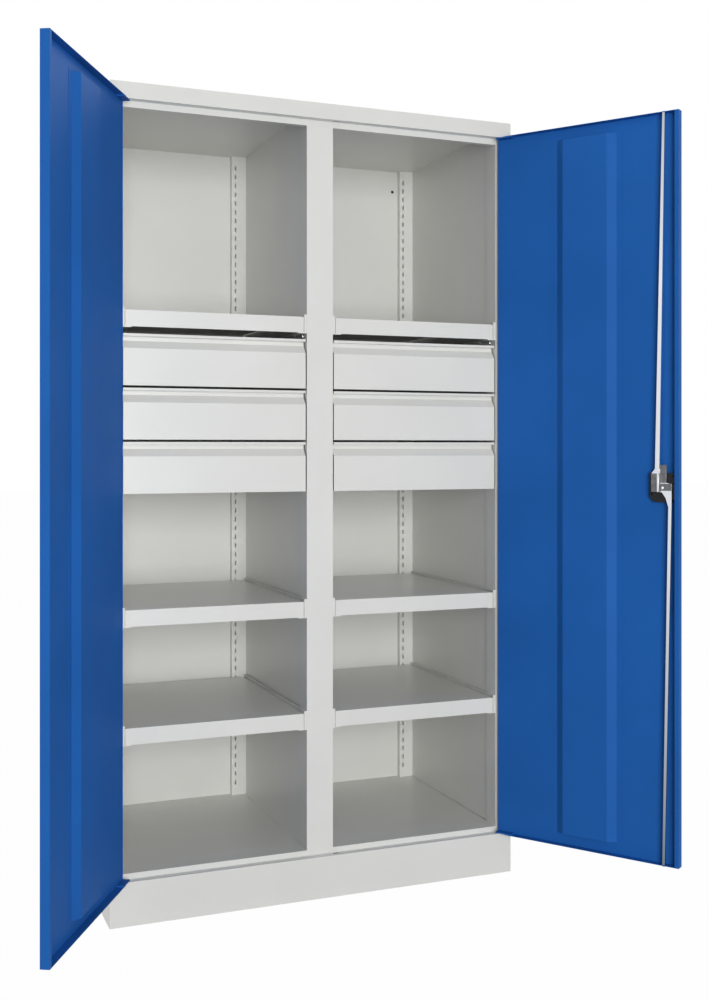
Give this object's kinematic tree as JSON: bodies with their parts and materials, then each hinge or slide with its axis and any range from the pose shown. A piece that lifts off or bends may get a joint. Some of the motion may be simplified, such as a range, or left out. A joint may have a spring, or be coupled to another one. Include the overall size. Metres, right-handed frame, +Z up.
{
  "type": "storage cabinet",
  "caption": "Heavy-duty two-door steel cabinet on a plinth, with a centre partition, slotted uprights, folded shelves, drawers on runners and a handle that drives locking rods.",
  "frame": {"origin": "middle of the footprint on the floor, on the plinth's middle channel", "axes": "+Z up, +X to the right seen from the front, the front faces -Y"},
  "size_m": [1.5203, 1.0106, 1.95],
  "materials": {
    "body_grey": "light grey powder coat, fine orange peel",
    "door_blue": "gentian blue powder coat, fine orange peel",
    "zinc": "bright zinc plating",
    "lock_black": "black moulded plastic",
    "chrome": "satin nickel plating"
  },
  "bodies": {
    "carcass": {"plinth_frame": "body_grey", "floor_panel": "body_grey", "back_panel": "body_grey", "top_cover": "body_grey", "top_rail": "body_grey", "ceiling_panel": "body_grey", "centre_post": "body_grey", "partition_walls": "body_grey", "front_uprights": "body_grey", "rear_uprights": "body_grey", "top_left_shelf": "body_grey", "middle_left_shelf": "body_grey", "lower_left_shelf": "body_grey", "top_right_shelf": "body_grey", "middle_right_shelf": "body_grey", "lower_right_shelf": "body_grey", "shelf_brackets": "body_grey", "left_side_panel": "body_grey", "left_inner_wall": "body_grey", "left_column_runners": "zinc", "right_side_panel": "body_grey", "right_inner_wall": "body_grey", "right_column_runners": "zinc"},
    "left_door": {"left_door_panel": "door_blue", "left_hinge_pins": "zinc", "left_hinge_plates": "door_blue", "left_door_stiffener": "door_blue"},
    "right_door": {"right_door_panel": "door_blue", "right_hinge_pins": "zinc", "right_hinge_plates": "door_blue", "right_door_stiffener": "door_blue", "lock_case": "lock_black", "handle_rosette": "lock_black"},
    "handle": {"handle": "lock_black", "spindle": "zinc", "lock_cam": "zinc"},
    "key_cylinder": {"key_cylinder": "chrome"},
    "upper_rod": {"upper_rod": "zinc"},
    "lower_rod": {"lower_rod": "zinc"},
    "left_drawer_1": {"left_drawer_1_front": "body_grey", "left_drawer_1_tray": "body_grey", "left_drawer_1_runners": "zinc"},
    "left_drawer_2": {"left_drawer_2_front": "body_grey", "left_drawer_2_tray": "body_grey", "left_drawer_2_runners": "zinc"},
    "left_drawer_3": {"left_drawer_3_front": "body_grey", "left_drawer_3_tray": "body_grey", "left_drawer_3_runners": "zinc"},
    "right_drawer_1": {"right_drawer_1_front": "body_grey", "right_drawer_1_tray": "body_grey", "right_drawer_1_runners": "zinc"},
    "right_drawer_2": {"right_drawer_2_front": "body_grey", "right_drawer_2_tray": "body_grey", "right_drawer_2_runners": "zinc"},
    "right_drawer_3": {"right_drawer_3_front": "body_grey", "right_drawer_3_tray": "body_grey", "right_drawer_3_runners": "zinc"}
  },
  "joints": [
    {"name": "left_door_hinge", "type": "hinge", "parent": "carcass", "child": "left_door", "pos_m": [-0.489, -0.286, 1.007], "axis": [0, 0, -1], "range_deg": [-119, 7]},
    {"name": "right_door_hinge", "type": "hinge", "parent": "carcass", "child": "right_door", "pos_m": [0.489, -0.286, 1.007], "axis": [0, 0, 1], "range_deg": [-124, 2]},
    {"name": "handle_turn", "type": "hinge", "parent": "right_door", "child": "handle", "pos_m": [0.74064, -0.65907, 1.009], "axis": [-0.829, -0.5592, 0], "range_deg": [-90, 0]},
    {"name": "key_turn", "type": "hinge", "parent": "handle", "child": "key_cylinder", "pos_m": [0.74064, -0.65907, 1.009], "axis": [-0.829, -0.5592, 0], "range_deg": [0, 90]},
    {"name": "upper_rod_slide", "type": "slide", "parent": "right_door", "child": "upper_rod", "axis": [-0.0103, 0.0153, -0.9998], "range_m": [-0.014, 0]},
    {"name": "lower_rod_slide", "type": "slide", "parent": "right_door", "child": "lower_rod", "axis": [0.0103, -0.0153, 0.9998], "range_m": [-0.014, 0]},
    {"name": "left_drawer_1_slide", "type": "slide", "parent": "carcass", "child": "left_drawer_1", "axis": [0, -1, 0], "range_m": [0, 0.4]},
    {"name": "left_drawer_2_slide", "type": "slide", "parent": "carcass", "child": "left_drawer_2", "axis": [0, -1, 0], "range_m": [0, 0.4]},
    {"name": "left_drawer_3_slide", "type": "slide", "parent": "carcass", "child": "left_drawer_3", "axis": [0, -1, 0], "range_m": [0, 0.4]},
    {"name": "right_drawer_1_slide", "type": "slide", "parent": "carcass", "child": "right_drawer_1", "axis": [0, -1, 0], "range_m": [0, 0.4]},
    {"name": "right_drawer_2_slide", "type": "slide", "parent": "carcass", "child": "right_drawer_2", "axis": [0, -1, 0], "range_m": [0, 0.4]},
    {"name": "right_drawer_3_slide", "type": "slide", "parent": "carcass", "child": "right_drawer_3", "axis": [0, -1, 0], "range_m": [0, 0.4]}
  ],
  "couplings": [
    {"joint": "upper_rod_slide", "follows": "handle_turn", "m_per_rad": 0.0089127},
    {"joint": "lower_rod_slide", "follows": "handle_turn", "m_per_rad": 0.0089127}
  ]
}
